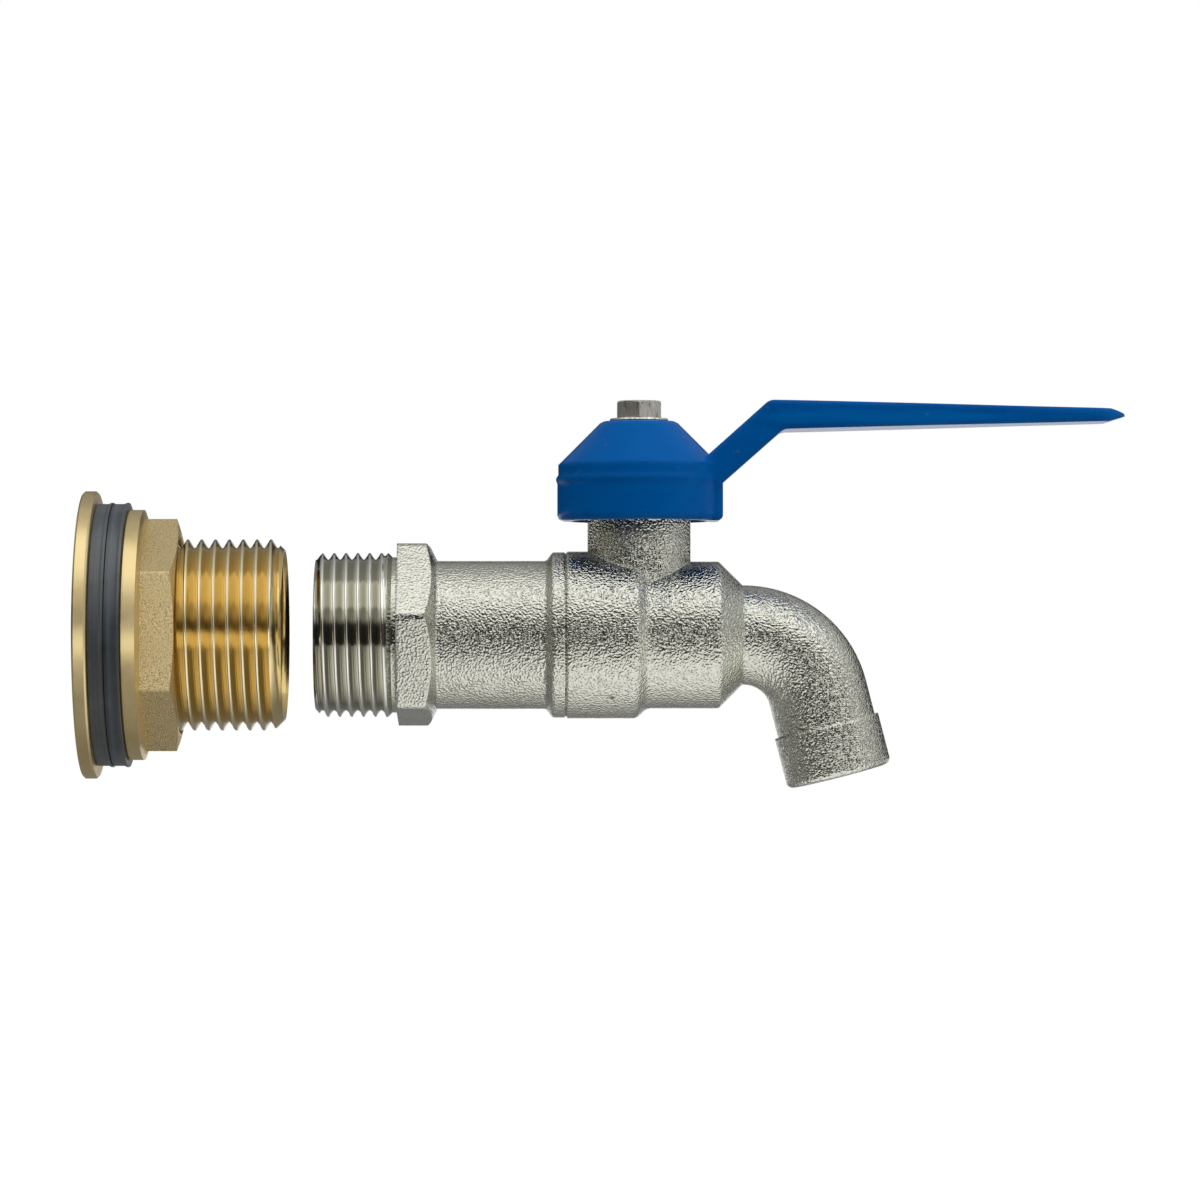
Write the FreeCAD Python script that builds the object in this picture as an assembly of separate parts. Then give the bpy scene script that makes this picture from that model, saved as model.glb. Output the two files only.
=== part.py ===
"""Water butt tap: a lever ball tap and the flanged tank connector that it screws into.

Millimetres. X runs along the water's way from the butt to the spout and Z is up. The origin is on
the pipe's axis, at the face of the connector's flange that the inner washer sits on.
The lever points along +X, which is the open position. The two male pipe threads are rings of
grooves without lead, and the other threads are plain cylinders and bores.
"""
import FreeCAD
import Part
import math
import os

from FreeCAD import Vector

AXIS_X = Vector(1, 0, 0)
AXIS_Y = Vector(0, 1, 0)
AXIS_Z = Vector(0, 0, 1)

# Tank connector
FLANGE_R = 23.1
FLANGE_THICK = 2.2
TAIL_THREAD_R = 15.4
TAIL_END = 30.0
TAIL_CHAMFER = 1.7
TAIL_THREAD_X = 2.2
TAIL_PITCH = 2.225
TAIL_THREAD_DEPTH = 1.45
TAIL_CREST_X = 14.42
SOCKET_R = 13.4
SOCKET_DEPTH = 15.5
TAIL_BORE_R = 11.5
WASHER_R = 21.05
WASHER_THICK = 2.5
WASHER_LIP = 0.2
WASHER_HOLE_R = 15.6
NUT_FACE_R = 20.1
NUT_FACE_THICK = 2.43
NUT_BEVEL = 0.43
NUT_LENGTH = 8.4
NUT_FLATS = 32.5
NUT_CORNER_DEG = 31.5
NUT_CHAMFER_DEG = 15.0
NUT_BORE_R = 15.6

# Inlet half of the tap
INLET_X = 35.0
INLET_THREAD_R = 13.22
INLET_CHAMFER = 1.1
INLET_PITCH = 1.9
INLET_THREAD_DEPTH = 1.1
INLET_CREST_X = 37.93
INLET_THREAD_GAP = 1.5
RELIEF_R = 12.5
RELIEF_LENGTH = 0.8
THREAD_CREST = 0.14
HEX_X = 48.14
HEX_FLATS = 27.0
HEX_CORNER_DEG = 11.3
HEX_EDGE_R = 1.6
HEX_CHAMFER_X = 53.7
BARREL_X = 54.5
BARREL_R = 11.9
COLLAR_X = 71.93
COLLAR_R = 13.3
COLLAR_BEVEL = 1.05
COLLAR_ROUND = 0.7
JOINT_X = 75.14
JOINT_CHAMFER = 0.25
SPIGOT_R = 10.9
INLET_BORE_R = 8.5
THROAT_R = 6.4

# Valve body and spout
STEM_X = 86.88
BODY_R = 13.42
BODY_BEVEL_X = 86.4
SHOULDER_X = 88.16
SHOULDER_R = 11.81
BODY_ROUND = 1.5
CONE_ROUND = 0.8
CONE_X = 99.66
CONE_END_X = 103.5
PIPE_R = 8.0
PIPE_BORE_R = 6.0
BEND_X = 103.7
BEND_R = 12.3
BEND_DEG = 75.5
PIPE_TAIL = 5.55
MOUTH_R = 8.56
MOUTH_LENGTH = 8.3
MOUTH_ROUND = 1.0
NECK_R = 8.28
NECK_TOP = 24.5

# Ball, seats and stem
BALL_R = 9.2
SEAL_R = 12.2
SEAL_THICK = 1.1
SEAT_GAP = 0.1
SEAT_R = 9.9
SEAT_HOLE_R = 6.5
SEAT_NEAR = 4.28
SEAT_FAR = 7.48
CAVITY_R = 10.0
SLOT_FLOOR = 7.2
BLADE_THICK = 3.0
BLADE_WIDTH = 8.0
STEM_R = 4.0
STEM_SHOULDER_R = 5.6
STEM_SHOULDER_TOP = 11.4
SHOULDER_GAP = 0.2
THRUST_TOP = 12.2
STEM_TOP = 33.9
STEM_FLATS = 5.6
PACKING_R = 6.0
PACKING_Z = (17.0, 19.0, 21.0)
GLAND_TOP = 27.3
GLAND_FLATS = 13.0
RUNNING_GAP = 0.08

# Handle
CAP_BOTTOM = 18.3
CAP_R = 13.15
CAP_BEAD_R = 13.35
CAP_BEAD_Z = 25.15
CAP_BAND_R = 13.0
CAP_CONE_Z = 27.3
CAP_TOP = 34.3
CAP_TOP_R = 6.3
CAP_HOLLOW_R = 10.8
CAP_SEAT_Z = 28.6
RIB_HALF = 5.25
RIB_ROUND = 0.9
ARM_HALF = 5.6
LEVER_HALF_WIDTHS = [(110.0, 6.9), (118.0, 7.2), (138.0, 6.45)]
TIP_HALF = 5.5
LEVER_TIP_X = 164.9
KNEE_TOP = (107.61, 37.5)
KNEE_UNDER = (109.87, 32.82)
NOSE_TOP_LENGTH = 2.63
NOSE_TOP_Z = 36.22
NOSE_UNDER_LENGTH = 2.96
NOSE_UNDER_Z = 34.17
NOSE_Z = 35.22
ARM_TOP = (97.81, 28.77)
ARM_UNDER = (99.58, 23.79)
LEVER_EDGE_R = 0.5
KNEE_ROUND = 2.0
NOSE_BLUNT = 0.15
TURN_DEG = 90.0
LUG_DEG = (165.0, 195.0)
LUG_R = 10.2
STOP_Z = (19.6, 23.6)
STOP_WIDTH_DEG = 19.0
STOP_GAP_DEG = 1.0

# Handle screw
SCREW_R = 2.0
SCREW_LENGTH = 10.0
SCREW_FLATS = 7.0
SCREW_HEAD = 2.7
DISH_R = 4.7
DISH_THICK = 0.6


def turned_x(points):
    """Solid turned about the pipe's axis from (x, radius) points."""
    corners = [Vector(x, 0, r) for x, r in points]
    face = Part.Face(Part.makePolygon(corners + corners[:1]))
    return face.revolve(Vector(), AXIS_X, 360)


def turned_z(points, turn=360.0, start=0.0):
    """Solid turned about the stem's axis from (radius, z) points, for part of a turn if wished."""
    corners = [Vector(STEM_X + r, 0, z) for r, z in points]
    face = Part.Face(Part.makePolygon(corners + corners[:1]))
    solid = face.revolve(Vector(STEM_X, 0, 0), AXIS_Z, turn)
    solid.rotate(Vector(STEM_X, 0, 0), AXIS_Z, start)
    return solid


def ring_z(inner, outer, bottom, top):
    """Plain ring about the stem's axis."""
    return turned_z([(inner, bottom), (outer, bottom), (outer, top), (inner, top)])


def rod_x(radius, start, end):
    """Cylinder on the pipe's axis."""
    return Part.makeCylinder(radius, end - start, Vector(start, 0, 0), AXIS_X)


def rod_z(radius, bottom, top):
    """Cylinder on the stem's axis."""
    return Part.makeCylinder(radius, top - bottom, Vector(STEM_X, 0, bottom), AXIS_Z)


def hex_x(flats, corner_deg, start, end):
    """Hexagonal bar on the pipe's axis; one corner is corner_deg above the -Y direction."""
    reach = flats / math.sqrt(3)
    corners = []
    for step in range(7):
        angle = math.radians(corner_deg + 60 * step)
        corners.append(Vector(start, -reach * math.cos(angle), reach * math.sin(angle)))
    return Part.Face(Part.makePolygon(corners)).extrude(Vector(end - start, 0, 0))


def hex_z(flats, bottom, top):
    """Hexagonal bar on the stem's axis with a corner toward -Y."""
    reach = flats / math.sqrt(3)
    corners = []
    for step in range(7):
        angle = math.radians(30 + 60 * step)
        corners.append(Vector(STEM_X + reach * math.cos(angle), reach * math.sin(angle), bottom))
    return Part.Face(Part.makePolygon(corners)).extrude(Vector(0, 0, top - bottom))


def lengthwise_edges(solid, direction):
    """Straight edges of a solid that run along a direction."""
    found = []
    for edge in solid.Edges:
        run = edge.Vertexes[-1].Point.sub(edge.Vertexes[0].Point)
        if run.Length > 0.5 and run.cross(direction).Length < 1e-6 * run.Length:
            found.append(edge)
    return found


def rings_at(solid, places):
    """Round edges of a turned solid that lie at the given places along X."""
    return [edge for edge in solid.Edges
            if edge.BoundBox.XLength < 0.01 and any(abs(edge.BoundBox.XMin - x) < 0.01 for x in places)]


def thread_grooves(radius, depth, pitch, crest_x, start, end):
    """V grooves round X to cut a thread's pitch and depth as plain rings, without its lead."""
    half = (pitch - THREAD_CREST) / 2
    first = math.ceil((start + half - crest_x) / pitch - 0.5)
    last = math.floor((end - half - crest_x) / pitch - 0.5)
    roots = [crest_x + (i + 0.5) * pitch for i in range(first, last + 1)]
    return [turned_x([(x - half, radius + depth), (x - half, radius), (x, radius - depth),
                      (x + half, radius), (x + half, radius + depth)]) for x in roots]


def flanged_tail():
    """Brass tail: flange inside the butt, male thread for the nut, socket for the tap."""
    small = 0.3
    outside = turned_x([
        (-FLANGE_THICK, 0), (-FLANGE_THICK, FLANGE_R - small), (-FLANGE_THICK + small, FLANGE_R),
        (-small, FLANGE_R), (0, FLANGE_R - small), (0, TAIL_THREAD_R),
        (TAIL_END - TAIL_CHAMFER, TAIL_THREAD_R), (TAIL_END, TAIL_THREAD_R - TAIL_CHAMFER),
        (TAIL_END, 0)])
    socket_x = TAIL_END - SOCKET_DEPTH
    waterway = rod_x(TAIL_BORE_R, -FLANGE_THICK, socket_x)
    socket = rod_x(SOCKET_R, socket_x, TAIL_END)
    grooves = thread_grooves(TAIL_THREAD_R, TAIL_THREAD_DEPTH, TAIL_PITCH, TAIL_CREST_X,
                             TAIL_THREAD_X, TAIL_END)
    return outside.cut(grooves).cut(waterway).cut(socket)


def rubber_washer(start):
    """Moulded washer with the thin lip that the mould leaves on one rim."""
    end = start + WASHER_THICK
    return turned_x([
        (start, WASHER_HOLE_R), (start, WASHER_R - 0.2), (start + 0.2, WASHER_R),
        (end - 0.7, WASHER_R), (end - 0.3, WASHER_R + WASHER_LIP), (end, WASHER_R + WASHER_LIP),
        (end, WASHER_HOLE_R)])


def backnut():
    """Hex nut with a round face that presses the outer washer."""
    start = 2 * WASHER_THICK
    end = start + NUT_LENGTH
    face_end = start + NUT_FACE_THICK
    corner_r = NUT_FLATS / math.sqrt(3)
    flat_r = NUT_FLATS / 2
    face = turned_x([
        (start, 0), (start, NUT_FACE_R - 0.3), (start + 0.3, NUT_FACE_R),
        (face_end, NUT_FACE_R), (face_end + NUT_BEVEL, corner_r), (face_end + NUT_BEVEL, 0)])
    drop = (corner_r - flat_r + 0.5) * math.tan(math.radians(NUT_CHAMFER_DEG))
    chamfer = turned_x([
        (start, 0), (start, corner_r + 1), (end - drop, corner_r + 0.01), (end, flat_r - 0.5), (end, 0)])
    hexagon = hex_x(NUT_FLATS, NUT_CORNER_DEG, start + 1, end)
    hexagon = hexagon.makeFillet(0.6, lengthwise_edges(hexagon, AXIS_X)).common(chamfer)
    mouth = 0.5
    bore = turned_x([
        (start, 0), (start, NUT_BORE_R + mouth), (start + mouth, NUT_BORE_R),
        (end - mouth, NUT_BORE_R), (end, NUT_BORE_R + mouth), (end, 0)])
    return face.fuse(hexagon).cut(bore).removeSplitter()


def inlet_adapter():
    """Inlet half of the tap: thread, spanner hex, barrel, collar and the spigot in the body."""
    thread_end = HEX_X - INLET_THREAD_GAP
    seat_x = STEM_X - SEAT_FAR
    outside = turned_x([
        (INLET_X, 0), (INLET_X, INLET_THREAD_R - INLET_CHAMFER), (INLET_X + INLET_CHAMFER, INLET_THREAD_R),
        (thread_end, INLET_THREAD_R), (HEX_X - RELIEF_LENGTH, RELIEF_R), (HEX_X + 0.5, RELIEF_R),
        (HEX_X + 0.5, BARREL_R), (COLLAR_X, BARREL_R), (COLLAR_X + COLLAR_BEVEL, COLLAR_R),
        (JOINT_X - JOINT_CHAMFER, COLLAR_R), (JOINT_X, COLLAR_R - JOINT_CHAMFER),
        (JOINT_X, SPIGOT_R), (seat_x, SPIGOT_R), (seat_x, 0)])
    outside = outside.makeFillet(COLLAR_ROUND, rings_at(outside, (COLLAR_X, COLLAR_X + COLLAR_BEVEL)))
    corner_r = HEX_FLATS / math.sqrt(3)
    slope = (BARREL_X - HEX_CHAMFER_X) / (HEX_FLATS / 2 - BARREL_R)
    chamfer = turned_x([
        (HEX_X, 0), (HEX_X, corner_r), (BARREL_X - slope * (corner_r - BARREL_R), corner_r),
        (BARREL_X, BARREL_R), (BARREL_X, 0)])
    hexagon = hex_x(HEX_FLATS, HEX_CORNER_DEG, HEX_X, BARREL_X)
    hexagon = hexagon.makeFillet(HEX_EDGE_R, lengthwise_edges(hexagon, AXIS_X)).common(chamfer)
    waterway = turned_x([
        (INLET_X, 0), (INLET_X, INLET_BORE_R), (COLLAR_X - 2, INLET_BORE_R), (COLLAR_X, THROAT_R),
        (seat_x, THROAT_R), (seat_x, 0)])
    grooves = thread_grooves(INLET_THREAD_R, INLET_THREAD_DEPTH, INLET_PITCH, INLET_CREST_X,
                             INLET_X, thread_end)
    return outside.cut(grooves).fuse(hexagon).cut(waterway).removeSplitter()


def mouth_direction():
    """Way the water leaves, down and a little forward."""
    turn = math.radians(BEND_DEG)
    return Vector(math.cos(turn), 0, -math.sin(turn))


def bend_end():
    """Point on the spout's centre line where the bend stops."""
    turn = math.radians(BEND_DEG)
    return Vector(BEND_X + BEND_R * math.sin(turn), 0, -BEND_R + BEND_R * math.cos(turn))


def spout_rod(radius, start, tail):
    """Rod along the spout's centre line: level, round the bend and straight down the tail."""
    level = rod_x(radius, start, BEND_X)
    circle = Part.Wire(Part.makeCircle(radius, Vector(BEND_X, 0, 0), AXIS_X))
    bend = Part.Face(circle).revolve(Vector(BEND_X, 0, -BEND_R), AXIS_Y, BEND_DEG)
    down = Part.makeCylinder(radius, tail, bend_end(), mouth_direction())
    return level.fuse([bend, down])


def spout_mouth():
    """Thicker ring round the spout's end, with a rounded lower rim."""
    start = bend_end() + mouth_direction() * PIPE_TAIL
    ring = Part.makeCylinder(MOUTH_R, MOUTH_LENGTH, start, mouth_direction())
    lower = [edge for edge in ring.Edges
             if edge.BoundBox.ZMax < start.z - MOUTH_LENGTH / 2 and len(edge.Vertexes) == 1]
    return ring.makeFillet(MOUTH_ROUND, lower)


def stop_lug():
    """Lug on the neck that the handle's two stops come up against."""
    low, high = STOP_Z
    section = [(NECK_R - 0.5, low), (LUG_R, low), (LUG_R, high), (NECK_R - 0.5, high)]
    return turned_z(section, LUG_DEG[1] - LUG_DEG[0], LUG_DEG[0])


def valve_body():
    """Cast body: ball chamber, neck for the stem, and the spout in one piece."""
    chamber = turned_x([
        (JOINT_X, 0), (JOINT_X, BODY_R - JOINT_CHAMFER), (JOINT_X + JOINT_CHAMFER, BODY_R),
        (BODY_BEVEL_X, BODY_R), (SHOULDER_X, SHOULDER_R), (CONE_X, SHOULDER_R),
        (CONE_END_X, PIPE_R), (CONE_END_X, 0)])
    chamber = chamber.makeFillet(BODY_ROUND, rings_at(chamber, (BODY_BEVEL_X, SHOULDER_X)))
    chamber = chamber.makeFillet(CONE_ROUND, rings_at(chamber, (CONE_X,)))
    neck = rod_z(NECK_R, 0, NECK_TOP)
    pipe = spout_rod(PIPE_R, CONE_END_X - 1, PIPE_TAIL + 1)
    outside = chamber.fuse([neck, pipe, spout_mouth(), stop_lug()])
    seat_x = STEM_X - SEAT_FAR
    cavity = turned_x([
        (JOINT_X, 0), (JOINT_X, SEAL_R), (JOINT_X + SEAL_THICK, SEAL_R), (JOINT_X + SEAL_THICK, SPIGOT_R),
        (seat_x, SPIGOT_R), (seat_x, CAVITY_R), (STEM_X + SEAT_FAR, CAVITY_R), (STEM_X + SEAT_FAR, 0)])
    waterway = spout_rod(PIPE_BORE_R, STEM_X + SEAT_FAR - 1, PIPE_TAIL + MOUTH_LENGTH)
    stem_bore = turned_z([
        (0, 0), (STEM_SHOULDER_R + 0.4, 0), (STEM_SHOULDER_R + 0.4, THRUST_TOP),
        (STEM_R + RUNNING_GAP, THRUST_TOP), (STEM_R + RUNNING_GAP, PACKING_Z[0]),
        (PACKING_R, PACKING_Z[0]), (PACKING_R, NECK_TOP), (0, NECK_TOP)])
    return outside.cut(cavity).cut(waterway).cut(stem_bore).removeSplitter()


def joint_seal():
    """Ring in the body's rebate that the collar of the inlet half presses."""
    return turned_x([
        (JOINT_X, SPIGOT_R), (JOINT_X, SEAL_R),
        (JOINT_X + SEAL_THICK, SEAL_R), (JOINT_X + SEAL_THICK, SPIGOT_R)])


def seat(side):
    """Seat ring with a hollow face that follows the ball; side is -1 for inlet and 1 for outlet."""
    near, far = STEM_X + side * SEAT_NEAR, STEM_X + side * SEAT_FAR
    ring = turned_x([(near, SEAT_HOLE_R), (near, SEAT_R), (far, SEAT_R), (far, SEAT_HOLE_R)])
    return ring.cut(Part.makeSphere(BALL_R + SEAT_GAP, Vector(STEM_X, 0, 0)))


def ball():
    """Ball with the waterway through it and a slot across its top."""
    sphere = Part.makeSphere(BALL_R, Vector(STEM_X, 0, 0))
    port = rod_x(PIPE_BORE_R, STEM_X - BALL_R, STEM_X + BALL_R)
    wide = BLADE_THICK + 0.2
    slot = Part.makeBox(wide, 2 * BALL_R, BALL_R, Vector(STEM_X - wide / 2, -BALL_R, SLOT_FLOOR))
    return sphere.cut(port).cut(slot)


def double_d(radius, flats, bottom, top):
    """Bar with two flats, on the stem's axis; the flats face +X and -X."""
    slab = Part.makeBox(flats, 4 * radius, top - bottom, Vector(STEM_X - flats / 2, -2 * radius, bottom))
    return rod_z(radius, bottom, top).common(slab)


def stem():
    """Stem: blade in the ball's slot, shoulder, round shaft and a double-D top with a tapped hole."""
    low, high = SEAT_R + SHOULDER_GAP, STEM_SHOULDER_TOP
    blade = Part.makeBox(BLADE_THICK, BLADE_WIDTH, low - SLOT_FLOOR,
                         Vector(STEM_X - BLADE_THICK / 2, -BLADE_WIDTH / 2, SLOT_FLOOR))
    shaft = turned_z([
        (0, low), (STEM_SHOULDER_R, low), (STEM_SHOULDER_R, high), (STEM_R, high),
        (STEM_R, CAP_SEAT_Z), (0, CAP_SEAT_Z)])
    top = double_d(STEM_R, STEM_FLATS, CAP_SEAT_Z, STEM_TOP)
    hole = rod_z(SCREW_R, CAP_TOP + DISH_THICK - SCREW_LENGTH - 1, STEM_TOP)
    return shaft.fuse([blade, top]).cut(hole).removeSplitter()


def thrust_washer():
    """Washer between the stem's shoulder and the body."""
    return ring_z(STEM_R + RUNNING_GAP, STEM_SHOULDER_R, STEM_SHOULDER_TOP, THRUST_TOP)


def packing_ring(bottom, top):
    """Packing ring round the stem."""
    return ring_z(STEM_R + RUNNING_GAP, PACKING_R - 0.05, bottom, top)


def gland_nut():
    """Hollow screw in the neck that presses the packing."""
    thread = rod_z(PACKING_R - 0.05, PACKING_Z[2], NECK_TOP)
    head = hex_z(GLAND_FLATS, NECK_TOP, GLAND_TOP)
    return thread.fuse(head).cut(rod_z(STEM_R + RUNNING_GAP, PACKING_Z[2], GLAND_TOP)).removeSplitter()


def handle_cap():
    """Hollow cap of the handle, with the bead that runs round it."""
    return turned_z([
        (0, CAP_BOTTOM), (CAP_R - 0.9, CAP_BOTTOM), (CAP_R - 0.25, CAP_BOTTOM + 0.25),
        (CAP_R, CAP_BOTTOM + 0.9), (CAP_R, CAP_BEAD_Z - 0.9), (CAP_BEAD_R, CAP_BEAD_Z - 0.4),
        (CAP_BEAD_R, CAP_BEAD_Z), (CAP_BAND_R, CAP_BEAD_Z + 0.5), (CAP_BAND_R, CAP_CONE_Z),
        (CAP_TOP_R, CAP_TOP - 0.3), (CAP_TOP_R - 0.6, CAP_TOP), (0, CAP_TOP)])


def edges_near(solid, places, reach=0.05):
    """Edges across the lever whose ends lie at one of the (x, z) places."""
    found = []
    for edge in solid.Edges:
        first, last = edge.Vertexes[0].Point, edge.Vertexes[-1].Point
        for x, z in places:
            if all(abs(end.x - x) < reach and abs(end.z - z) < reach for end in (first, last)):
                found.append(edge)
    return found


def lever_side():
    """Lever's side outline as a wide slab, with a rounded knee and a tapered nose."""
    slope = (KNEE_TOP[1] - ARM_TOP[1]) / (KNEE_TOP[0] - ARM_TOP[0])
    root_x = STEM_X + CAP_TOP_R
    root_top = ARM_TOP[1] - slope * (ARM_TOP[0] - root_x)
    root_under = ARM_UNDER[1] - slope * (ARM_UNDER[0] - root_x)
    nose = [(LEVER_TIP_X - NOSE_UNDER_LENGTH, NOSE_UNDER_Z), (LEVER_TIP_X, NOSE_Z - NOSE_BLUNT),
            (LEVER_TIP_X, NOSE_Z + NOSE_BLUNT), (LEVER_TIP_X - NOSE_TOP_LENGTH, NOSE_TOP_Z)]
    outline = [(root_x, root_under), KNEE_UNDER, *nose, KNEE_TOP, (root_x, root_top)]
    reach = 2 * max(half for _, half in LEVER_HALF_WIDTHS)
    corners = [Vector(x, -reach, z) for x, z in outline]
    slab = Part.Face(Part.makePolygon(corners + corners[:1])).extrude(Vector(0, 2 * reach, 0))
    return slab.makeFillet(KNEE_ROUND, edges_near(slab, [KNEE_TOP, KNEE_UNDER]))


def lever_plan():
    """Lever's outline from above as a tall block: narrow root, broad knee, tapering to a round end."""
    root_x, end_x, low = STEM_X + CAP_TOP_R, LEVER_TIP_X - TIP_HALF, CAP_BOTTOM
    half_widths = [(root_x, ARM_HALF), (ARM_UNDER[0], ARM_HALF), *LEVER_HALF_WIDTHS, (end_x, TIP_HALF)]
    flanks = []
    for side in (1, -1):
        flank = Part.BSplineCurve()
        flank.interpolate(Points=[Vector(x, side * half, low) for x, half in half_widths],
                          InitialTangent=AXIS_X, FinalTangent=AXIS_X)
        flanks.append(flank.toShape())
    far, near = Vector(end_x, TIP_HALF, low), Vector(end_x, -TIP_HALF, low)
    tip = Part.Arc(far, Vector(LEVER_TIP_X, 0, low), near).toShape()
    root = Part.makeLine(Vector(root_x, -ARM_HALF, low), Vector(root_x, ARM_HALF, low))
    outline = Part.Wire(Part.__sortEdges__([root, flanks[0], tip, flanks[1]]))
    return Part.Face(outline).extrude(Vector(0, 0, 2 * (KNEE_TOP[1] - low)))


def lever_arm():
    """Cranked lever: its side outline cut to its outline from above, with rounded edges."""
    arm = lever_side().common(lever_plan())
    root_x = STEM_X + CAP_TOP_R
    rims = [edge for edge in arm.Edges
            if root_x + 1 < edge.BoundBox.XMax < LEVER_TIP_X - NOSE_TOP_LENGTH + 0.05
            and abs(edge.CenterOfMass.y) > 1 and edge.BoundBox.XLength > 0.2]
    return arm.makeFillet(LEVER_EDGE_R, rims)


def handle_stops():
    """Two blocks inside the cap that meet the neck's lug when the lever is open and shut."""
    low, high = STOP_Z
    inner, outer = NECK_R + 0.5, CAP_HOLLOW_R + 0.5
    section = [(inner, low), (outer, low), (outer, high), (inner, high)]
    open_stop = turned_z(section, STOP_WIDTH_DEG, LUG_DEG[0] - STOP_GAP_DEG - STOP_WIDTH_DEG)
    shut_stop = turned_z(section, STOP_WIDTH_DEG, LUG_DEG[1] + TURN_DEG + STOP_GAP_DEG)
    return open_stop.fuse(shut_stop)


def lever_handle():
    """Handle: cap, rib under the lever's root and the lever, cast in one."""
    rib = Part.makeBox(CAP_BEAD_R - CAP_TOP_R, 2 * RIB_HALF, CAP_BEAD_Z - CAP_BOTTOM,
                       Vector(STEM_X + CAP_TOP_R, -RIB_HALF, CAP_BOTTOM))
    outer = STEM_X + CAP_BEAD_R - 0.01
    rib = rib.makeFillet(RIB_ROUND, [edge for edge in rib.Edges if edge.BoundBox.XMin > outer
                                     and edge.BoundBox.ZMin < CAP_BOTTOM + 0.01])
    hollow = turned_z([
        (0, CAP_BOTTOM), (CAP_HOLLOW_R, CAP_BOTTOM), (CAP_HOLLOW_R, CAP_BEAD_Z),
        (CAP_HOLLOW_R - 2.4, CAP_SEAT_Z), (0, CAP_SEAT_Z)])
    hole = double_d(STEM_R + 0.05, STEM_FLATS + 0.1, CAP_SEAT_Z, CAP_TOP)
    solid = handle_cap().fuse([rib, lever_arm()])
    return solid.cut(hollow).fuse(handle_stops()).cut(hole).removeSplitter()


def dished_washer():
    """Slightly dished washer under the screw's head."""
    return turned_z([
        (SCREW_R + 0.15, CAP_TOP + 0.1), (DISH_R - 0.2, CAP_TOP), (DISH_R, CAP_TOP + 0.2),
        (DISH_R - 0.1, CAP_TOP + DISH_THICK - 0.15), (SCREW_R + 1.6, CAP_TOP + DISH_THICK),
        (SCREW_R + 0.15, CAP_TOP + DISH_THICK)])


def handle_screw():
    """Hex-head screw that holds the handle on the stem."""
    under = CAP_TOP + DISH_THICK
    top = under + SCREW_HEAD
    corner_r = SCREW_FLATS / math.sqrt(3)
    flat_r = SCREW_FLATS / 2
    drop = (corner_r - flat_r + 0.2) * math.tan(math.radians(30))
    chamfer = turned_z([
        (0, under), (corner_r + 0.5, under), (corner_r + 0.01, top - drop), (flat_r - 0.2, top), (0, top)])
    head = hex_z(SCREW_FLATS, under, top).common(chamfer)
    return head.fuse(rod_z(SCREW_R, under - SCREW_LENGTH, under)).removeSplitter()


PARTS = {
    "flanged_tail": flanged_tail(),
    "inner_rubber_washer": rubber_washer(0.0),
    "outer_rubber_washer": rubber_washer(WASHER_THICK),
    "backnut": backnut(),
    "inlet_adapter": inlet_adapter(),
    "valve_body": valve_body(),
    "joint_seal": joint_seal(),
    "inlet_seat": seat(-1),
    "outlet_seat": seat(1),
    "ball": ball(),
    "stem": stem(),
    "thrust_washer": thrust_washer(),
    "lower_packing": packing_ring(PACKING_Z[0], PACKING_Z[1]),
    "upper_packing": packing_ring(PACKING_Z[1], PACKING_Z[2]),
    "gland_nut": gland_nut(),
    "lever_handle": lever_handle(),
    "dished_washer": dished_washer(),
    "handle_screw": handle_screw(),
}

os.makedirs("parts", exist_ok=True)
for name, shape in PARTS.items():
    shape.exportStep("parts/" + name + ".step")
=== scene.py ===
"""Water butt tap and its tank connector: cut threads, finishes, studio light and the photograph's camera."""

import bmesh
import bpy
import math
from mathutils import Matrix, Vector


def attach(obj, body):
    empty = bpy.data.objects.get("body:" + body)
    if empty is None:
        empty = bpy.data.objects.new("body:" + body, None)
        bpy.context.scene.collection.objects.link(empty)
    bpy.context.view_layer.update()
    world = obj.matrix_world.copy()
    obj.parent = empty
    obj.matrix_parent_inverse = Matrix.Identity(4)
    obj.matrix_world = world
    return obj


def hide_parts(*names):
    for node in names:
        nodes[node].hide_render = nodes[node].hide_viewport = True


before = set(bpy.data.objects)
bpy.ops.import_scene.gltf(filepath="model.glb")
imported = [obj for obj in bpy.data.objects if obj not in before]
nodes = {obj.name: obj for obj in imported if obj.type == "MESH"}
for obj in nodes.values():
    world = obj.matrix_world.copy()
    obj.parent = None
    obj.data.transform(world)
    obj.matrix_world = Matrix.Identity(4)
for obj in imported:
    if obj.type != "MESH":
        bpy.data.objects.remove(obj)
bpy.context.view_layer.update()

MM = 0.001
TURN = 2 * math.pi

# Sizes from the part's source, in millimetres
FLANGE_R, FLANGE_THICK = 23.09, 2.2
TAIL_R, TAIL_END, TAIL_CHAMFER = 15.4, 30.0, 1.7
TAIL_PITCH, TAIL_DEPTH = 2.225, 1.45
SOCKET_R, SOCKET_X, TAIL_BORE_R = 13.4, 14.5, 11.5
INLET_X, INLET_R, INLET_CHAMFER = 35.0, 13.22, 1.1
INLET_PITCH, INLET_DEPTH = 1.9, 1.1
INLET_THREAD_END, RELIEF_R, HEX_X, HEX_END_X = 46.64, 12.5, 48.14, 53.7
NUT_HEX_X, NUT_END_X = 7.7, 13.2

# Where a crest shows on top of each thread in the photograph, along X in millimetres
TAIL_CREST_X = 14.42
INLET_CREST_X = 37.93

# Thread form: the crest's flat and a flank as shares of half a pitch; the top is a quarter turn from angle 0
CREST_FLAT, FLANK = 0.12, 0.80
TOP_TURN = 0.25
SEGMENTS = 144

# Points closer than this, in metres, are one point; a gap left to bridge is this wide, in millimetres
WELD_DISTANCE = 2e-7
RIM_GAP = 0.05

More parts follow.
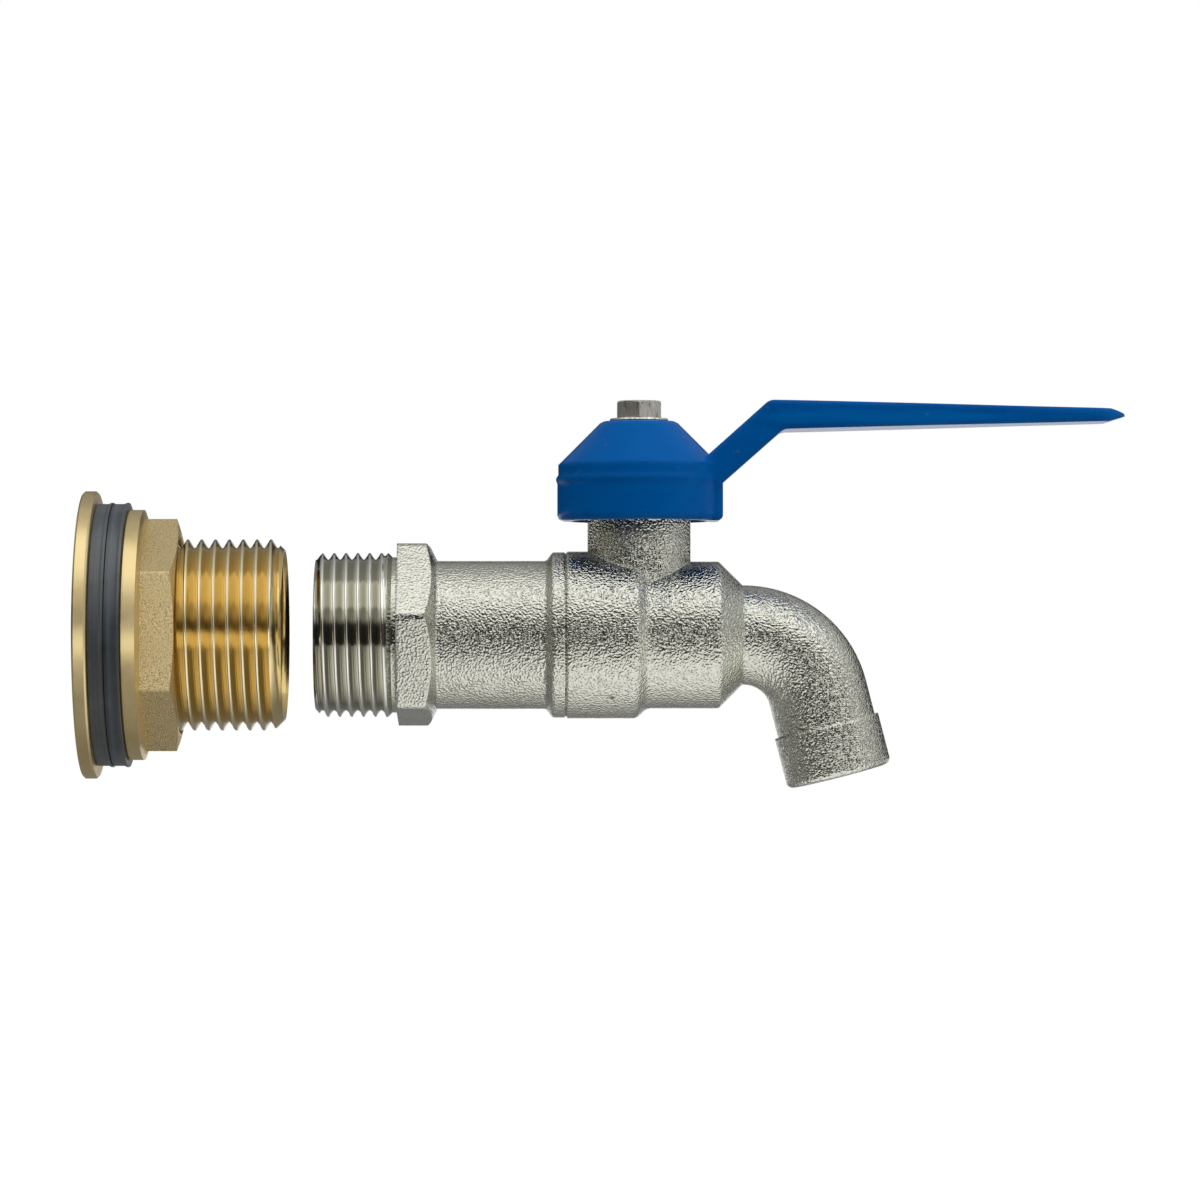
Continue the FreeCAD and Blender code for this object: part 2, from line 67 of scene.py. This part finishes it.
# Camera: millimetres per pixel, the pixels of the origin and the optical axis, and the frame and distance
PIXEL = 0.16074
ORIGIN_PIXEL = (98.5, 635.0)
AXIS_PIXEL = (545.0, 672.0)
FRAME_PIXELS = 1200.0
DISTANCE_PIXELS = 4800.0
SENSOR = 36.0

WHITE = (1.0, 1.0, 1.0, 1.0)


def thread_cut(x, angle, pitch, crest_x, depth):
    """Depth of a right-hand thread's groove at a place, in millimetres; the crest is on top at crest_x."""
    turn = (x - crest_x) / pitch + TOP_TURN - angle / TURN
    flank = 1 - abs(1 - 2 * (turn % 1.0))
    return depth * min(1.0, max(0.0, (flank - CREST_FLAT) / FLANK))


def fade(x, start, end):
    """0 before start, 1 after end and a smooth rise between."""
    share = min(1.0, max(0.0, (x - start) / (end - start)))
    return share * share * (3 - 2 * share)


def place(x, r, angle):
    """Vertex position in metres from millimetres along and out from the pipe's axis."""
    return (x * MM, r * math.cos(angle) * MM, r * math.sin(angle) * MM)


def lathe(bm, stations):
    """Adds a turned skin through stations of (x, radius), where radius may be a function of x and angle."""
    rings = []
    for x, radius in stations:
        ring = []
        for i in range(SEGMENTS):
            angle = TURN * i / SEGMENTS
            r = radius(x, angle) if callable(radius) else radius
            ring.append(bm.verts.new(place(x, r, angle)))
        rings.append(ring)
    for near, far in zip(rings, rings[1:]):
        for i in range(SEGMENTS):
            j = (i + 1) % SEGMENTS
            bm.faces.new((near[i], near[j], far[j], far[i]))


def threaded(bm, start, end, pitch, crest_x, radius, steps=12):
    """Adds a skin from start to end whose rows follow the thread, so that its crests are clean lines."""
    first = math.floor((start - crest_x) / pitch * steps) - steps
    last = math.ceil((end - crest_x) / pitch * steps) + steps
    rows = []
    for k in range(first, last + 1):
        row = []
        for i in range(SEGMENTS + 1):
            angle = TURN * i / SEGMENTS
            x = crest_x + k * pitch / steps + pitch * (angle / TURN - TOP_TURN)
            x = min(end, max(start, x))
            row.append((bm.verts.new(place(x, radius(x, angle), angle)), x))
        rows.append(row)
    for near, far in zip(rows, rows[1:]):
        for i in range(SEGMENTS):
            corners = (near[i], near[i + 1], far[i + 1], far[i])
            if len({x for _, x in corners}) > 1:
                bm.faces.new([vertex for vertex, _ in corners])


def weld(bm):
    """Joins the skins where they meet, and clears faces without area and loose points."""
    bmesh.ops.remove_doubles(bm, verts=bm.verts, dist=WELD_DISTANCE)
    bmesh.ops.dissolve_degenerate(bm, edges=bm.edges, dist=WELD_DISTANCE)
    bmesh.ops.delete(bm, geom=[v for v in bm.verts if not v.link_faces], context="VERTS")


def bridge_rims(bm, x):
    """Closes the narrow gap between the two open rims beside x, in millimetres along the pipe's axis."""
    rims = [edge for edge in bm.edges
            if edge.is_boundary and all(abs(v.co.x / MM - x) < 2 * RIM_GAP for v in edge.verts)]
    bmesh.ops.bridge_loops(bm, edges=rims)


def finish_mesh(bm, name, sharp_deg=35):
    """Turns a bmesh into a smooth-shaded object with sharp edges kept."""
    bmesh.ops.recalc_face_normals(bm, faces=bm.faces)
    mesh = bpy.data.meshes.new(name)
    bm.to_mesh(mesh)
    bm.free()
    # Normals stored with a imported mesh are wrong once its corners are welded
    packed_normals = mesh.attributes.get("custom_normal")
    if packed_normals:
        mesh.attributes.remove(packed_normals)
    for polygon in mesh.polygons:
        polygon.use_smooth = True
    mesh.set_sharp_from_angle(angle=math.radians(sharp_deg))
    piece = bpy.data.objects.new(name, mesh)
    bpy.context.scene.collection.objects.link(piece)
    return piece


def flanged_tail():
    """Connector's tail with its outside thread and the fine thread in its socket."""
    flange_edge = 0.3
    thread_start, full_depth_x = 0.4, 2.5
    socket_bevel, mouth_r = 0.4, SOCKET_R + 0.15
    socket_start, socket_end = TAIL_END - 0.6, SOCKET_X + 0.3
    socket_depth, socket_steps = 0.12, 6

    def outside(x, angle):
        depth = TAIL_DEPTH * fade(x, thread_start, full_depth_x)
        groove = thread_cut(x, angle, TAIL_PITCH, TAIL_CREST_X, depth)
        return min(TAIL_R - groove, TAIL_R - TAIL_CHAMFER + (TAIL_END - x))

    def socket(x, angle):
        return SOCKET_R - thread_cut(x, angle, INLET_PITCH, INLET_CREST_X, socket_depth)

    bm = bmesh.new()
    lathe(bm, [(SOCKET_X - socket_bevel, TAIL_BORE_R), (-FLANGE_THICK, TAIL_BORE_R),
               (-FLANGE_THICK, FLANGE_R - flange_edge), (-FLANGE_THICK + flange_edge, FLANGE_R),
               (-flange_edge, FLANGE_R), (0.0, FLANGE_R - flange_edge), (0.0, TAIL_R), (thread_start, outside)])
    threaded(bm, thread_start, TAIL_END, TAIL_PITCH, TAIL_CREST_X, outside)
    lathe(bm, [(TAIL_END, outside), (TAIL_END, mouth_r), (socket_start, socket)])
    threaded(bm, socket_end, socket_start, INLET_PITCH, INLET_CREST_X, socket, socket_steps)
    lathe(bm, [(socket_end, socket), (SOCKET_X, TAIL_BORE_R + socket_bevel),
               (SOCKET_X - socket_bevel, TAIL_BORE_R)])
    weld(bm)
    piece = finish_mesh(bm, "threaded_tail")
    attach(piece, "connector")
    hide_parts("flanged_tail")
    return piece


def inlet_adapter():
    """Tap's inlet half: the solid's own mesh, with its rings of grooves replaced by a thread that has lead."""
    least_r = 11.5
    x_slack, r_slack = 0.01, 0.02
    run_out, relief_slope = 0.8, 0.7
    bm = bmesh.new()
    bm.from_mesh(nodes["inlet_adapter"].data)

    def grooved(face):
        radii = [math.hypot(v.co.y, v.co.z) / MM for v in face.verts]
        return (max(v.co.x for v in face.verts) < (HEX_X + x_slack) * MM
                and min(radii) > least_r and max(radii) < INLET_R + r_slack)

    def outside(x, angle):
        depth = INLET_DEPTH * (1 - fade(x, INLET_THREAD_END - run_out, INLET_THREAD_END))
        return min(INLET_R - thread_cut(x, angle, INLET_PITCH, INLET_CREST_X, depth),
                   INLET_R - INLET_CHAMFER + (x - INLET_X))

    bmesh.ops.delete(bm, geom=[face for face in bm.faces if grooved(face)], context="FACES")
    threaded(bm, INLET_X + RIM_GAP, INLET_THREAD_END, INLET_PITCH, INLET_CREST_X, outside)
    lathe(bm, [(INLET_THREAD_END, outside), (INLET_THREAD_END + relief_slope, RELIEF_R),
               (HEX_X - RIM_GAP, RELIEF_R)])
    weld(bm)
    bridge_rims(bm, INLET_X)
    bridge_rims(bm, HEX_X)
    piece = finish_mesh(bm, "threaded_inlet")
    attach(piece, "tap")
    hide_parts("inlet_adapter")
    return piece


class Nodes:
    """A node tree, with short ways to add and join nodes."""

    def __init__(self, tree):
        self.tree = tree

    def feed(self, socket, value):
        """Links a socket to a node's output, or sets it to a plain value."""
        if isinstance(value, bpy.types.NodeSocket):
            self.tree.links.new(value, socket)
        else:
            socket.default_value = value

    def node(self, kind, inputs=None, **settings):
        made = self.tree.nodes.new("ShaderNode" + kind)
        for name, value in settings.items():
            setattr(made, name, value)
        for name, value in (inputs or {}).items():
            self.feed(made.inputs[name], value)
        return made

    def span(self, value, low, high, new_low, new_high):
        """Maps a value from one range to another, clamped."""
        inputs = {"Value": value, "From Min": low, "From Max": high, "To Min": new_low, "To Max": new_high}
        return self.node("MapRange", inputs).outputs["Result"]

    def maths(self, operation, first, second=0.0):
        made = self.node("Math", operation=operation)
        for socket, value in zip(made.inputs, (first, second)):
            self.feed(socket, value)
        return made.outputs["Value"]


class Finish(Nodes):
    """A procedural material."""

    # Mix's sockets for share, first, second and result, by kind of data
    MIX_SOCKETS = {"RGBA": (0, 6, 7, 2), "VECTOR": (0, 4, 5, 1)}
    BEVEL_SAMPLES = 8

    def __init__(self, name):
        self.material = bpy.data.materials.new(name)
        self.material.use_nodes = True
        super().__init__(self.material.node_tree)
        self.shader = self.tree.nodes["Principled BSDF"]
        self.place = self.node("TexCoord").outputs["Object"]

    def set(self, **values):
        for name, value in values.items():
            self.shader.inputs[name.replace("_", " ")].default_value = value

    def join(self, output, name):
        self.tree.links.new(output, self.shader.inputs[name])

    def noise(self, scale, detail=2.0, roughness=0.5, vector=None):
        """Noise with features about 1/scale metres across."""
        inputs = {"Vector": vector or self.place, "Scale": scale, "Detail": detail, "Roughness": roughness}
        return self.node("TexNoise", inputs).outputs["Fac"]

    def stretched(self, scale):
        """Place with each axis scaled, so that noise is drawn out along an axis with a small scale."""
        return self.node("Mapping", {"Vector": self.place, "Scale": scale}).outputs["Vector"]

    def ramp(self, value, stops):
        """Colour ramp through (position, grey or colour) stops."""
        made = self.node("ValToRGB", {"Fac": value})
        points = made.color_ramp.elements
        while len(points) < len(stops):
            points.new(0.5)
        for point, (position, colour) in zip(points, stops):
            point.position = position
            point.color = (*colour, 1.0) if isinstance(colour, tuple) else (colour, colour, colour, 1.0)
        return made.outputs["Color"]

    def mix(self, kind, share, first, second):
        """Value between two values of one kind."""
        made = self.node("Mix", data_type=kind)
        *ends, result = self.MIX_SOCKETS[kind]
        for end, value in zip(ends, (share, first, second)):
            self.feed(made.inputs[end], value)
        return made.outputs[result]

    def blend(self, share, first, second):
        """Colour between two colours."""
        colours = [(*value, 1.0) if isinstance(value, tuple) else value for value in (first, second)]
        return self.mix("RGBA", share, *colours)

    def bump(self, height, strength, distance, under=None):
        inputs = {"Height": height, "Strength": strength, "Distance": distance}
        if under:
            inputs["Normal"] = under
        return self.node("Bump", inputs).outputs["Normal"]

    def rounded(self, radius, share=1.0):
        """Normal with softened edges, as far as share says."""
        soft = self.node("Bevel", {"Radius": radius}, samples=self.BEVEL_SAMPLES).outputs["Normal"]
        return self.mix("VECTOR", share, self.node("NewGeometry").outputs["Normal"], soft)

    def turned_place(self):
        """Place in parts, the radius, and (x, radius, 0), where noise runs in rings round the pipe's axis."""
        parts = self.node("SeparateXYZ", {"Vector": self.place}).outputs
        radius = self.maths("SQRT", self.maths("ADD", self.maths("POWER", parts["Y"], 2.0),
                                               self.maths("POWER", parts["Z"], 2.0)))
        return parts, radius, self.node("CombineXYZ", {"X": parts["X"], "Y": radius}).outputs["Vector"]


def nickel():
    """Nickel plate over a blasted casting; the cut thread is smooth, with a painted highlight on its crests and
    painted shade in its roots.
    """
    grain_scale, grain_height, edge_radius = 2800.0, 0.00024, 0.0006
    hex_grain = 0.6
    look = Finish("nickelled_brass")
    parts, radius, _ = look.turned_place()
    cast = look.span(parts["X"], (HEX_X - 1.2) * MM, (HEX_X - 0.2) * MM, 0.0, 1.0)
    grain = look.noise(grain_scale, 0.7, 0.5)
    cloud = look.noise(180.0, 4.0, 0.6)
    # Radius from a thread's root to its crest, used for painted shade in the roots and a painted highlight on
    # the crests
    crest = look.span(radius, (INLET_R - INLET_DEPTH) * MM, INLET_R * MM, 0.0, 1.0)
    blasted = look.ramp(grain, [(0.30, (0.50, 0.50, 0.43)), (0.44, (0.645, 0.645, 0.565)),
                                (0.70, (0.70, 0.70, 0.615))])
    cells = look.node("TexVoronoi", {"Vector": look.place, "Scale": 140.0}).outputs["Distance"]
    pits = look.span(cells, 0.035, 0.065, 1.0, 0.0)
    blasted = look.blend(pits, blasted, (0.16, 0.15, 0.12))
    # Thread colour: painted shade in the roots, a painted highlight on the crests
    thread = look.ramp(crest, [(0.0, (0.46, 0.45, 0.38)), (0.6, (0.64, 0.63, 0.54)),
                               (0.93, (0.84, 0.83, 0.76))])
    look.join(look.blend(cast, thread, blasted), "Base Color")
    look.set(Metallic=1.0)
    rough = look.maths("ADD", look.span(cloud, 0.3, 0.7, 0.10, 0.15), look.maths("MULTIPLY", cast, -0.03))
    look.join(rough, "Roughness")
    relief = look.span(parts["X"], HEX_END_X * MM, (HEX_END_X + 0.5) * MM, hex_grain, 1.0)
    height = look.maths("MULTIPLY", grain, look.maths("MULTIPLY", cast, relief))
    look.join(look.bump(height, 1.0, grain_height, look.rounded(edge_radius, cast)), "Normal")
    return look.material


def brass(name, cut_thread=False, cast_hex=False):
    """Turned brass with fine rings, yellower where a thread is cut, with painted shade in the thread's roots
    and pale crests that are partly wear, partly a painted highlight; a nut's hex is left as cast.
    """
    ring_scale, ring_height = 5200.0, 0.00005
    grain_scale, grain_height = 4600.0, 0.00018
    look = Finish(name)
    parts, radius, rings_place = look.turned_place()
    rings = look.noise(ring_scale, 2.0, 0.6, rings_place)
    cloud = look.noise(120.0, 4.0, 0.6)
    colour = look.ramp(cloud, [(0.30, (0.76, 0.59, 0.28)), (0.70, (0.86, 0.70, 0.38))])
    look.set(Metallic=1.0)
    normal = look.bump(rings, 0.35, ring_height)
    rough = look.span(cloud, 0.3, 0.7, 0.30, 0.40)
    if cast_hex:
        start = look.span(parts["X"], NUT_HEX_X * MM, (NUT_HEX_X + 0.2) * MM, 0.0, 1.0)
        stop = look.span(parts["X"], NUT_END_X * MM, (NUT_END_X + 0.1) * MM, 1.0, 0.0)
        cast = look.maths("MULTIPLY", start, stop)
        grain = look.noise(grain_scale, 1.0, 0.5)
        cast_colour = look.ramp(grain, [(0.32, (0.44, 0.335, 0.155)), (0.45, (0.71, 0.565, 0.295)),
                                        (0.7, (0.80, 0.655, 0.38))])
        colour = look.blend(cast, colour, cast_colour)
        normal = look.bump(look.maths("MULTIPLY", grain, cast), 1.0, grain_height, normal)
        rough = look.maths("ADD", rough, look.maths("MULTIPLY", cast, 0.10))
    if cut_thread:
        thread = look.span(parts["X"], 0.5 * MM, 2.0 * MM, 0.0, 1.0)
        # Radius from root to crest: painted shade in the thread's roots; the pale crests are partly wear,
        # partly a painted highlight
        crest = look.span(radius, (TAIL_R - TAIL_DEPTH) * MM, TAIL_R * MM, 0.0, 1.0)
        cut_colour = look.ramp(crest, [(0.0, (0.68, 0.51, 0.21)), (0.85, (0.76, 0.62, 0.34)),
                                       (0.96, (0.84, 0.74, 0.50))])
        colour = look.blend(thread, colour, cut_colour)
        rough = look.maths("SUBTRACT", rough, look.maths("MULTIPLY", thread, 0.18))
    look.join(colour, "Base Color")
    look.join(rough, "Roughness")
    look.join(normal, "Normal")
    return look.material


def rubber():
    """Black rubber with a blue-grey bloom and fine streaks round its edge."""
    streak_height, grain_height = 0.00008, 0.00006
    look = Finish("black_rubber")
    _, _, rings_place = look.turned_place()
    grain = look.noise(1400.0, 3.0, 0.6)
    bloom = look.noise(90.0, 4.0, 0.6)
    streaks = look.noise(2600.0, 3.0, 0.6, rings_place)
    shade = look.maths("ADD", look.maths("MULTIPLY", bloom, 0.5), look.maths("MULTIPLY", streaks, 0.5))
    look.join(look.ramp(shade, [(0.36, (0.022, 0.029, 0.036)), (0.62, (0.100, 0.124, 0.146))]), "Base Color")
    look.join(look.span(streaks, 0.3, 0.7, 0.30, 0.46), "Roughness")
    look.set(Specular_IOR_Level=0.9)
    normal = look.bump(streaks, 0.5, streak_height)
    look.join(look.bump(grain, 0.25, grain_height, normal), "Normal")
    return look.material


def blue_enamel():
    """Blue stoved paint with a little orange peel, flow marks along the lever and a few pale scuffs."""
    cap_end_x, lever_x = 0.102, 0.112
    cap_flow = 0.2
    peel_height, edge_radius = 0.00012, 0.0014
    look = Finish("blue_enamel")
    peel = look.noise(420.0, 1.0, 0.4)
    flow = look.noise(480.0, 2.0, 0.5, look.stretched((0.06, 1.0, 1.0)))
    along = look.node("SeparateXYZ", {"Vector": look.place}).outputs["X"]
    share = look.span(along, cap_end_x, lever_x, cap_flow, 1.0)
    flow = look.maths("ADD", look.maths("MULTIPLY", look.maths("SUBTRACT", flow, 0.5), share), 0.5)
    scratches = look.noise(900.0, 4.0, 0.65, look.stretched((0.35, 1.0, 1.0)))
    scuff = look.ramp(scratches, [(0.66, 0.0), (0.72, 1.0)])
    base = look.ramp(flow, [(0.32, (0.0003, 0.108, 0.440)), (0.66, (0.0005, 0.166, 0.570))])
    look.join(look.blend(look.maths("MULTIPLY", scuff, 0.35), base, (0.16, 0.24, 0.40)), "Base Color")
    look.join(look.maths("ADD", look.maths("MULTIPLY", scuff, 0.2), 0.18), "Roughness")
    look.set(Specular_IOR_Level=0.04)
    look.join(look.bump(peel, 0.15, peel_height, look.rounded(edge_radius)), "Normal")
    return look.material


def zinc():
    """Worn zinc on the screw and washer, with brown in the hollows."""
    worn_height = 0.00010
    look = Finish("zinc_steel")
    worn = look.noise(2000.0, 3.0, 0.6, look.stretched((1.0, 1.0, 0.25)))
    colour = look.ramp(worn, [(0.32, (0.30, 0.27, 0.20)), (0.44, (0.68, 0.66, 0.58)),
                              (0.64, (0.92, 0.91, 0.84))])
    look.join(colour, "Base Color")
    look.set(Metallic=1.0)
    look.join(look.span(worn, 0.35, 0.65, 0.52, 0.34), "Roughness")
    look.join(look.bump(worn, 0.35, worn_height), "Normal")
    return look.material


def ptfe():
    """White seal plastic."""
    look = Finish("white_ptfe")
    cloud = look.noise(500.0, 2.0)
    look.join(look.ramp(cloud, [(0.3, (0.78, 0.78, 0.75)), (0.7, (0.88, 0.88, 0.86))]), "Base Color")
    look.set(Roughness=0.4)
    return look.material


def chrome():
    """Polished ball."""
    look = Finish("chromed_ball")
    cloud = look.noise(300.0, 3.0)
    look.join(look.ramp(cloud, [(0.3, (0.70, 0.71, 0.73)), (0.7, (0.78, 0.79, 0.81))]), "Base Color")
    look.set(Metallic=1.0, Roughness=0.08)
    return look.material


def dress(pieces, material):
    """Gives pieces one material."""
    for piece in pieces:
        piece.data.materials.clear()
        piece.data.materials.append(material)


def floor_finish():
    """Floor, white to the camera; grey outside a pale patch in front of the tap, as painted shade under the
    connector; metal sees that patch as lit through a painted glow in reflections, and sees the far floor as
    lit.
    """
    look = Finish("pale_floor")
    look.set(Roughness=0.9, Emission_Color=WHITE)
    parts = look.node("SeparateXYZ", {"Vector": look.place}).outputs
    # Pale patch in front of the tap; the grey floor around it is painted shade, darkening the connector's
    # underside
    pale_glowing_patch = look.maths("MULTIPLY", look.span(parts["X"], 0.01, 0.05, 0.0, 1.0),
                       look.span(parts["Y"], -0.02, 0.07, 1.0, 0.0))
    pale = look.ramp(look.noise(3.0), [(0.3, 0.74), (0.7, 0.78)])
    look.join(look.blend(pale_glowing_patch, (0.36, 0.36, 0.36), pale), "Base Color")
    rays = look.node("LightPath").outputs
    reflection = look.maths("MAXIMUM", rays["Is Glossy Ray"], rays["Is Transmission Ray"])
    # The patch glows in reflections only, a painted reflection of lit floor
    patch_glow_in_reflections = look.maths("MULTIPLY", pale_glowing_patch, look.span(parts["Y"], -0.30, -0.07, 0.20, 0.58))
    far_light = look.span(parts["Y"], 0.4, 0.8, 0.0, 1.0)
    mirrored = look.maths("MULTIPLY", reflection, look.maths("MAXIMUM", patch_glow_in_reflections, far_light))
    far_white = look.span(parts["Y"], 0.1, 0.5, 0.6, 1.0)
    near_white = look.span(pale_glowing_patch, 0.0, 1.0, 0.85, 0.6)
    seen = look.maths("MULTIPLY", rays["Is Camera Ray"], look.maths("MAXIMUM", far_white, near_white))
    look.join(look.maths("MAXIMUM", seen, mirrored), "Emission Strength")
    return look.material


def surroundings():
    """White tent above a dark slit at the viewer's height, dimmer at the back, with a white background."""
    world = bpy.data.worlds.new("studio")
    bpy.context.scene.world = world
    world.use_nodes = True
    sky = Nodes(world.node_tree)
    background = sky.tree.nodes["Background"]
    background.inputs["Color"].default_value = WHITE
    way = sky.node("SeparateXYZ", {"Vector": sky.node("TexCoord").outputs["Generated"]}).outputs
    tent = sky.span(way["Z"], 0.25, 0.40, 0.03, 0.57)
    brighter_right = sky.span(way["X"], -0.5, 0.8, 0.8, 1.5)
    dimmer_back = sky.span(way["Y"], 0.1, 0.8, 1.0, 0.5)
    tent = sky.maths("MULTIPLY", sky.maths("MULTIPLY", tent, brighter_right), dimmer_back)
    right_wall = sky.span(way["X"], 0.72, 0.88, 0.0, 0.42)
    room = sky.maths("MAXIMUM", tent, right_wall)
    rays = sky.node("LightPath").outputs
    reflection = sky.maths("MAXIMUM", rays["Is Glossy Ray"], rays["Is Transmission Ray"])
    mirrored = sky.maths("MULTIPLY", reflection, sky.span(way["Y"], 0.975, 0.99, 0.0, 0.65))
    shown = sky.maths("MAXIMUM", sky.maths("MAXIMUM", rays["Is Camera Ray"], room), mirrored)
    sky.feed(background.inputs["Strength"], shown)


def softbox(name, position, target, width, height, watts):
    """Rectangular lamp that faces the target."""
    lamp = bpy.data.lights.new(name, "AREA")
    lamp.shape = "RECTANGLE"
    lamp.size = width
    lamp.size_y = height
    lamp.energy = watts
    made = bpy.data.objects.new(name, lamp)
    made.location = position
    made.rotation_euler = (target - position).to_track_quat("-Z", "Y").to_euler()
    bpy.context.scene.collection.objects.link(made)
    return made


def studio():
    """Floor, surroundings and a large soft lamp overhead."""
    low, near, far, wide = -0.10, -0.34, 2.2, 2.2
    corners = [(-wide, near, low), (wide, near, low), (wide, far, low), (-wide, far, low)]
    mesh = bpy.data.meshes.new("floor")
    mesh.from_pydata(corners, [], [(0, 1, 2, 3)])
    floor = bpy.data.objects.new("floor", mesh)
    bpy.context.scene.collection.objects.link(floor)
    dress([floor], floor_finish())
    surroundings()
    softbox("top_softbox", Vector((0.08, -0.22, 0.52)), Vector((0.08, 0.0, 0.0)),
            width=1.2, height=0.5, watts=1.3)


def connector_fill(pieces):
    """Low front lamp for the connector's brass alone, which the photograph lights apart from the tap."""
    lamp = softbox("connector_fill", Vector((0.02, -0.50, -0.06)), Vector((0.02, 0.0, 0.0)),
                   width=1.8, height=0.18, watts=1.4)
    lamp.visible_camera = False
    lit = bpy.data.collections.new("connector_brass")
    for piece in pieces:
        lit.objects.link(piece)
    lamp.light_linking.receiver_collection = lit


def camera():
    """Level long-lens camera with the photograph's framing."""
    data = bpy.data.cameras.new("camera")
    data.sensor_width = SENSOR
    data.lens = SENSOR * DISTANCE_PIXELS / FRAME_PIXELS
    data.shift_x = (FRAME_PIXELS / 2 - AXIS_PIXEL[0]) / FRAME_PIXELS
    data.shift_y = (AXIS_PIXEL[1] - FRAME_PIXELS / 2) / FRAME_PIXELS
    data.clip_start = 0.01
    data.clip_end = 20.0
    made = bpy.data.objects.new("camera", data)
    made.location = ((AXIS_PIXEL[0] - ORIGIN_PIXEL[0]) * PIXEL * MM, -DISTANCE_PIXELS * PIXEL * MM,
                     (ORIGIN_PIXEL[1] - AXIS_PIXEL[1]) * PIXEL * MM)
    made.rotation_euler = (math.radians(90), 0, 0)
    bpy.context.scene.collection.objects.link(made)
    bpy.context.scene.camera = made


def named(*names):
    """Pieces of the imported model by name."""
    return [nodes[name] for name in names]


tail = flanged_tail()
dress([tail], brass("turned_brass", cut_thread=True))
dress(named("backnut"), brass("nut_brass", cast_hex=True))
dress([inlet_adapter(), *named("valve_body")], nickel())
dress(named("inner_rubber_washer", "outer_rubber_washer"), rubber())
dress(named("lever_handle"), blue_enamel())
dress(named("handle_screw", "dished_washer"), zinc())
dress(named("joint_seal", "inlet_seat", "outlet_seat", "thrust_washer", "lower_packing", "upper_packing"),
      ptfe())
dress(named("stem", "gland_nut"), brass("plain_brass"))
dress(named("ball"), chrome())
studio()
connector_fill([tail, *named("backnut")])
camera()

bpy.context.scene.view_settings.view_transform = "Standard"
bpy.context.view_layer.update()
